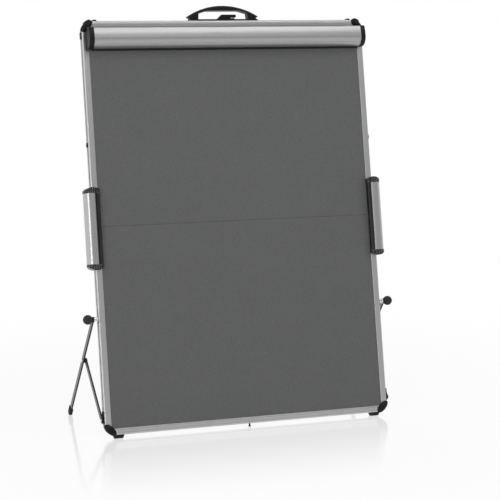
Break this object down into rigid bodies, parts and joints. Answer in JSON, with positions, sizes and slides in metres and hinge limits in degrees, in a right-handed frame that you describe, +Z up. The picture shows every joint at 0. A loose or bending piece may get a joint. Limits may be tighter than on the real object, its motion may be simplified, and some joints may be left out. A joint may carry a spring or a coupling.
{
  "type": "tabletop flip chart",
  "caption": "Tabletop flip chart: a grey felt board in an aluminium frame that folds in half, with a paper clamp bar, a carrying handle, grip sleeves and folding legs.",
  "frame": {"origin": "middle of the bounding box on the table top", "axes": "+Z up, -Y towards the felt face, +X to the right of someone who faces the felt"},
  "size_m": [0.791, 0.2948, 1.0044],
  "materials": {
    "anodised": "satin",
    "cast_silver": "satin",
    "core_board": "matte",
    "felt_grey": "matte",
    "skin_grey": "matte",
    "black_plastic": "satin",
    "black_rubber": "matte",
    "steel": "satin",
    "leg_grey": "satin",
    "latch_black": "satin"
  },
  "bodies": {
    "lower_half": {"bottom_rail": "anodised", "lower_rail_right": "anodised", "lower_rail_left": "anodised", "lower_corner_blocks": "cast_silver", "corner_caps": "black_plastic", "lower_core": "core_board", "lower_felt": "felt_grey", "lower_back_skin": "skin_grey", "lower_hinge_leaves": "steel", "hinge_pins": "steel", "rubber_feet": "black_rubber", "keeper_stud": "steel", "leg_brackets": "black_plastic", "lower_screws": "steel", "bracket_nuts": "steel", "bracket_rivets": "steel"},
    "upper_half": {"top_rail": "anodised", "upper_rail_right": "anodised", "upper_rail_left": "anodised", "upper_corner_blocks": "cast_silver", "clamp_bracket_right": "black_plastic", "clamp_bracket_left": "black_plastic", "clamp_pins": "steel", "upper_core": "core_board", "upper_felt": "felt_grey", "upper_back_skin": "skin_grey", "upper_hinge_leaves": "steel", "upper_screws": "steel", "top_bumpers": "black_plastic", "stop_studs": "black_plastic", "side_pads": "black_plastic", "handle": "black_plastic", "latch_pivot": "steel", "top_slot_nuts": "steel"},
    "clamp": {"clamp_bar": "anodised", "clamp_cap_right": "black_plastic", "clamp_cap_left": "black_plastic", "jaw_strip": "black_rubber", "clamp_springs": "steel"},
    "latch": {"latch_lever": "latch_black"},
    "sleeve_right": {"grip_body_right": "black_plastic", "grip_shell_right": "anodised", "grip_caps_right": "black_plastic"},
    "strut_body_right": {"strut_right": "leg_grey", "elbow_spacer_right": "black_plastic", "elbow_rivet_right": "steel"},
    "leg_body_right": {"leg_right": "leg_grey", "leg_foot_right": "black_rubber", "bolt_set_right": "steel"},
    "knob_body_right": {"knob_right": "black_plastic"},
    "sleeve_left": {"grip_body_left": "black_plastic", "grip_shell_left": "anodised", "grip_caps_left": "black_plastic"},
    "strut_body_left": {"strut_left": "leg_grey", "elbow_spacer_left": "black_plastic", "elbow_rivet_left": "steel"},
    "leg_body_left": {"leg_left": "leg_grey", "leg_foot_left": "black_rubber", "bolt_set_left": "steel"},
    "knob_body_left": {"knob_left": "black_plastic"}
  },
  "joints": [
    {"name": "board_fold", "type": "hinge", "parent": "lower_half", "child": "upper_half", "pos_m": [0, -0.03253, 0.48617], "axis": [-1, 0, 0], "range_deg": [0, 180]},
    {"name": "clamp_open", "type": "hinge", "parent": "upper_half", "child": "clamp", "pos_m": [0, 0.01441, 0.9466], "axis": [-1, 0, 0], "range_deg": [0, 30], "stiffness_Nm_per_rad": 1.5, "springref_deg": -14.9},
    {"name": "latch_turn", "type": "hinge", "parent": "upper_half", "child": "latch", "pos_m": [0, 0.04589, 0.96821], "axis": [0, 0.1828, 0.9832], "range_deg": [0, 90]},
    {"name": "sleeve_right_slide", "type": "slide", "parent": "upper_half", "child": "sleeve_right", "axis": [0, 0.1828, 0.9832], "range_m": [0, 0.103]},
    {"name": "strut_right_fold", "type": "hinge", "parent": "lower_half", "child": "strut_body_right", "pos_m": [0.3644, -0.12573, 0.04279], "axis": [1, 0, 0], "range_deg": [0, 39.22]},
    {"name": "leg_right_fold", "type": "hinge", "parent": "strut_body_right", "child": "leg_body_right", "pos_m": [0.3716, 0.01319, 0.16038], "axis": [-1, 0, 0], "range_deg": [0, 89.33]},
    {"name": "knob_right_turn", "type": "hinge", "parent": "leg_body_right", "child": "knob_body_right", "pos_m": [0.384, -0.08238, 0.27599], "axis": [1, 0, 0], "range_deg": [0, 360]},
    {"name": "sleeve_left_slide", "type": "slide", "parent": "upper_half", "child": "sleeve_left", "axis": [0, 0.1828, 0.9832], "range_m": [0, 0.103]},
    {"name": "strut_left_fold", "type": "hinge", "parent": "lower_half", "child": "strut_body_left", "pos_m": [-0.3644, -0.12573, 0.04279], "axis": [1, 0, 0], "range_deg": [0, 39.22]},
    {"name": "leg_left_fold", "type": "hinge", "parent": "strut_body_left", "child": "leg_body_left", "pos_m": [-0.3716, 0.01319, 0.16038], "axis": [-1, 0, 0], "range_deg": [0, 89.33]},
    {"name": "knob_left_turn", "type": "hinge", "parent": "leg_body_left", "child": "knob_body_left", "pos_m": [-0.384, -0.08238, 0.27599], "axis": [1, 0, 0], "range_deg": [0, 360]}
  ],
  "couplings": [
    {"joint": "leg_right_fold", "follows": "strut_right_fold", "ratio": 2.2775},
    {"joint": "leg_left_fold", "follows": "strut_left_fold", "ratio": 2.2775}
  ]
}
